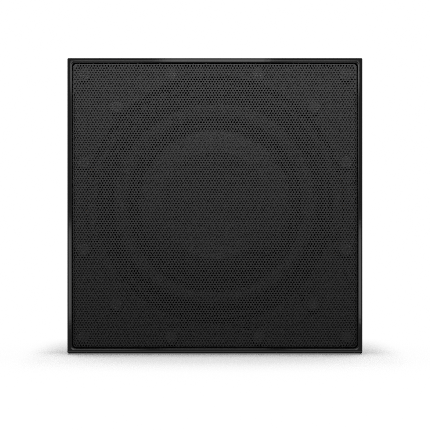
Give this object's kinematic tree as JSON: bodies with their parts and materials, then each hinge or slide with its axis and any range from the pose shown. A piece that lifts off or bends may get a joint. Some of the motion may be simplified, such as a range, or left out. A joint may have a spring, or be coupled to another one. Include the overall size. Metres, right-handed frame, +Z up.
{
  "type": "subwoofer",
  "caption": "Free-standing powered subwoofer: gloss cube cabinet, flush perforated steel grille, forward-facing twelve-inch driver and a rear amplifier plate.",
  "frame": {"origin": "middle of the footprint of the whole object, on the floor under the feet", "axes": "+Z up, front (grille) towards -Y, amplifier plate towards +Y, +X to the right of someone who faces the grille"},
  "size_m": [0.37, 0.405, 0.3715],
  "materials": {
    "gloss_lacquer": "gloss black lacquer over fibreboard",
    "powder_coat": "fine-textured dark grey powder coat",
    "satin_abs": "satin black moulding",
    "fibreboard": "raw fibreboard",
    "rubber": "matt black",
    "cast_black": "black powder-coated casting",
    "piston_composite": "satin dark grey composite",
    "cone_pulp": "pressed pulp",
    "spider_cloth": "resin-treated woven cloth",
    "copper_wire": "enamelled copper",
    "former_aluminium": "thin rolled sheet",
    "plated_steel": "zinc plated",
    "ferrite": "matt grey ceramic magnet",
    "black_oxide": "black oxide",
    "plate_black": "satin black powder coat",
    "fin_black": "black anodised extrusion",
    "circuit_board": "green solder mask",
    "gasket_foam": "closed-cell foam",
    "wadding": "white polyester wadding",
    "rocker_black": "gloss black",
    "cable_jacket": "dark red sheath"
  },
  "bodies": {
    "cabinet": {"amp_gasket": "gasket_foam", "amp_plate": "plate_black", "baffle_front_layer": "fibreboard", "baffle_rear_layer": "fibreboard", "basket": "cast_black", "cabinet_shell": "gloss_lacquer", "circuit_board": "circuit_board", "driver_gasket": "gasket_foam", "driver_screw_01": "black_oxide", "driver_screw_02": "black_oxide", "driver_screw_03": "black_oxide", "driver_screw_04": "black_oxide", "driver_screw_05": "black_oxide", "driver_screw_06": "black_oxide", "driver_screw_07": "black_oxide", "driver_screw_08": "black_oxide", "driver_screw_09": "black_oxide", "driver_screw_10": "black_oxide", "driver_screw_11": "black_oxide", "driver_screw_12": "black_oxide", "fascia": "satin_abs", "ferrite_ring_front": "ferrite", "ferrite_ring_rear": "ferrite", "foot_front_left": "rubber", "foot_front_right": "rubber", "foot_rear_left": "rubber", "foot_rear_right": "rubber", "heat_sink": "fin_black", "magnet_boot": "rubber", "pole_and_back_plate": "plated_steel", "power_inlet": "satin_abs", "power_transformer": "ferrite", "rca_sockets": "satin_abs", "rear_panel": "gloss_lacquer", "reservoir_capacitor_left": "satin_abs", "reservoir_capacitor_right": "satin_abs", "speaker_cable": "cable_jacket", "spider": "spider_cloth", "surround": "rubber", "terminal_block": "satin_abs", "tinsel_lead_negative": "copper_wire", "tinsel_lead_positive": "copper_wire", "top_plate": "plated_steel", "trigger_jack": "plated_steel", "wadding_pad": "wadding", "window_brace": "fibreboard", "xlr_socket": "black_oxide"},
    "grille": {"grille_panel": "powder_coat"},
    "piston": {"cone": "cone_pulp", "piston_cap": "piston_composite", "coil_former": "former_aluminium", "voice_coil": "copper_wire"},
    "volume": {"volume_knob": "satin_abs"},
    "crossover": {"crossover_knob": "satin_abs"},
    "phase": {"phase_knob": "satin_abs"},
    "mode_switch": {"mode_switch_slider": "satin_abs"},
    "filter_switch": {"filter_switch_slider": "satin_abs"},
    "rocker": {"power_rocker": "rocker_black"},
    "fuse_holder": {"fuse_drawer": "satin_abs"},
    "latch": {"xlr_latch": "plated_steel"}
  },
  "joints": [
    {"name": "cone_excursion", "type": "slide", "parent": "cabinet", "child": "piston", "axis": [0, -1, 0], "range_m": [-0.012, 0.012], "stiffness_N_per_m": 4500, "deforming": ["surround", "spider", "tinsel_lead_positive", "tinsel_lead_negative"]},
    {"name": "grille_lift_off", "type": "slide", "parent": "cabinet", "child": "grille", "axis": [0, -1, 0], "range_m": [0, 0.09]},
    {"name": "volume_turn", "type": "hinge", "parent": "cabinet", "child": "volume", "pos_m": [0.062, 0.1823, 0.2085], "axis": [0, -1, 0], "range_deg": [-150, 150]},
    {"name": "crossover_turn", "type": "hinge", "parent": "cabinet", "child": "crossover", "pos_m": [0, 0.1823, 0.2085], "axis": [0, -1, 0], "range_deg": [-150, 150]},
    {"name": "phase_turn", "type": "hinge", "parent": "cabinet", "child": "phase", "pos_m": [-0.062, 0.1823, 0.2085], "axis": [0, -1, 0], "range_deg": [-150, 150]},
    {"name": "mode_switch_slide", "type": "slide", "parent": "cabinet", "child": "mode_switch", "axis": [1, 0, 0], "range_m": [-0.004, 0.004]},
    {"name": "filter_switch_slide", "type": "slide", "parent": "cabinet", "child": "filter_switch", "axis": [-1, 0, 0], "range_m": [0, 0.005]},
    {"name": "power_rocker_tilt", "type": "hinge", "parent": "cabinet", "child": "rocker", "pos_m": [-0.07, 0.182, 0.1147], "axis": [1, 0, 0], "range_deg": [0, 14]},
    {"name": "fuse_drawer_pull", "type": "slide", "parent": "cabinet", "child": "fuse_holder", "axis": [0, 1, 0], "range_m": [0, 0.022]},
    {"name": "xlr_latch_press", "type": "slide", "parent": "cabinet", "child": "latch", "axis": [0, -1, 0], "range_m": [0, 0.0015], "stiffness_N_per_m": 800}
  ]
}
